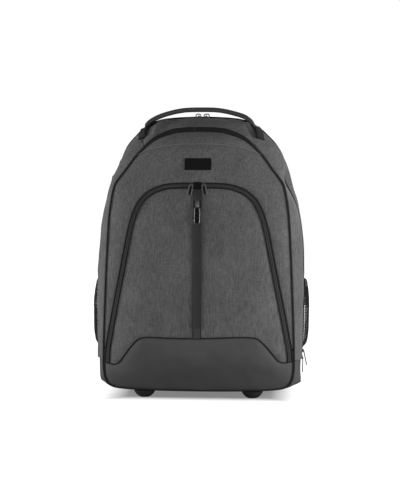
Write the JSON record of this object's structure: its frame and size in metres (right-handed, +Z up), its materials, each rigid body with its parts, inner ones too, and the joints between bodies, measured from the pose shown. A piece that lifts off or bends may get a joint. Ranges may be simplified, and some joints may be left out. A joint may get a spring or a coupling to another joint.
{
  "type": "wheeled backpack",
  "caption": "Soft backpack with a crowned front pocket, side pockets, shoulder straps and a wheeled base with a telescopic pull handle.",
  "frame": {"origin": "middle of the whole at floor level, under the bag", "axes": "+X to the wearer's right, which is the right of the picture, -Y out of the front face, +Z up"},
  "size_m": [0.3788, 0.203, 0.494],
  "materials": {
    "melange_cloth": "two-tone grey melange weave",
    "smooth_cloth": "smooth coated dark grey",
    "padded_mesh": "dark padded air mesh",
    "net": "open black net",
    "binding": "black bound edge",
    "zip_tape": "dark zip tape with coil",
    "webbing": "dark woven webbing",
    "rubber": "matt black",
    "moulded_plastic": "fine matt grain",
    "dark_metal": "dark satin",
    "bright_steel": "satin"
  },
  "bodies": {
    "bag": {"base_panel": "smooth_cloth", "crescent_panel": "melange_cloth", "front_panel": "melange_cloth", "pocket_panel": "melange_cloth", "arch_zip": "zip_tape", "centre_zip": "zip_tape", "label": "binding", "front_piping": "binding", "base_wrap": "smooth_cloth", "side_gusset_left": "melange_cloth", "side_gusset_right": "melange_cloth", "top_gusset": "melange_cloth", "main_zip": "zip_tape", "rear_gusset": "melange_cloth", "back_panel": "padded_mesh", "back_piping_left": "binding", "back_piping_right": "binding", "trolley_base": "moulded_plastic", "back_pad_left": "padded_mesh", "back_pad_right": "padded_mesh", "axle_left": "bright_steel", "front_foot_left": "rubber", "axle_right": "bright_steel", "front_foot_right": "rubber", "outer_tube_left": "dark_metal", "outer_tube_right": "dark_metal", "handle_bezel": "moulded_plastic", "carry_handle": "webbing", "carry_webbing_left": "webbing", "carry_webbing_right": "webbing", "shoulder_strap_left": "padded_mesh", "strap_buckle_left": "moulded_plastic", "strap_webbing_left": "webbing", "shoulder_strap_right": "padded_mesh", "strap_buckle_right": "moulded_plastic", "strap_webbing_right": "webbing", "mesh_pocket_left": "net", "pocket_binding_left": "webbing", "mesh_pocket_right": "net", "pocket_binding_right": "webbing", "arch_slider_left": "dark_metal", "arch_slider_right": "dark_metal", "centre_slider": "dark_metal", "ridge_slider_left": "dark_metal", "ridge_slider_right": "dark_metal", "side_slider_upper": "bright_steel", "side_slider_lower": "bright_steel"},
    "wheel_left": {"wheel_left": "rubber"},
    "wheel_right": {"wheel_right": "rubber"},
    "middle_stage": {"middle_tube_left": "dark_metal", "middle_tube_right": "dark_metal"},
    "inner_stage": {"inner_tube_left": "bright_steel", "inner_tube_right": "bright_steel", "trolley_grip": "moulded_plastic"},
    "grip_button": {"grip_button": "dark_metal"}
  },
  "joints": [
    {"name": "wheel_left_spin", "type": "hinge", "parent": "bag", "child": "wheel_left", "pos_m": [-0.092, 0.06206, 0.029], "axis": [1, 0, 0], "continuous": true},
    {"name": "wheel_right_spin", "type": "hinge", "parent": "bag", "child": "wheel_right", "pos_m": [0.092, 0.06206, 0.029], "axis": [1, 0, 0], "continuous": true},
    {"name": "middle_stage_slide", "type": "slide", "parent": "bag", "child": "middle_stage", "axis": [0, 0, 1], "range_m": [0, 0.28]},
    {"name": "inner_stage_slide", "type": "slide", "parent": "middle_stage", "child": "inner_stage", "axis": [0, 0, 1], "range_m": [0, 0.28]},
    {"name": "grip_button_press", "type": "slide", "parent": "inner_stage", "child": "grip_button", "axis": [0, 0, 1], "range_m": [-0.002, 0], "stiffness_N_per_m": 800, "springref_m": 0.0015}
  ]
}
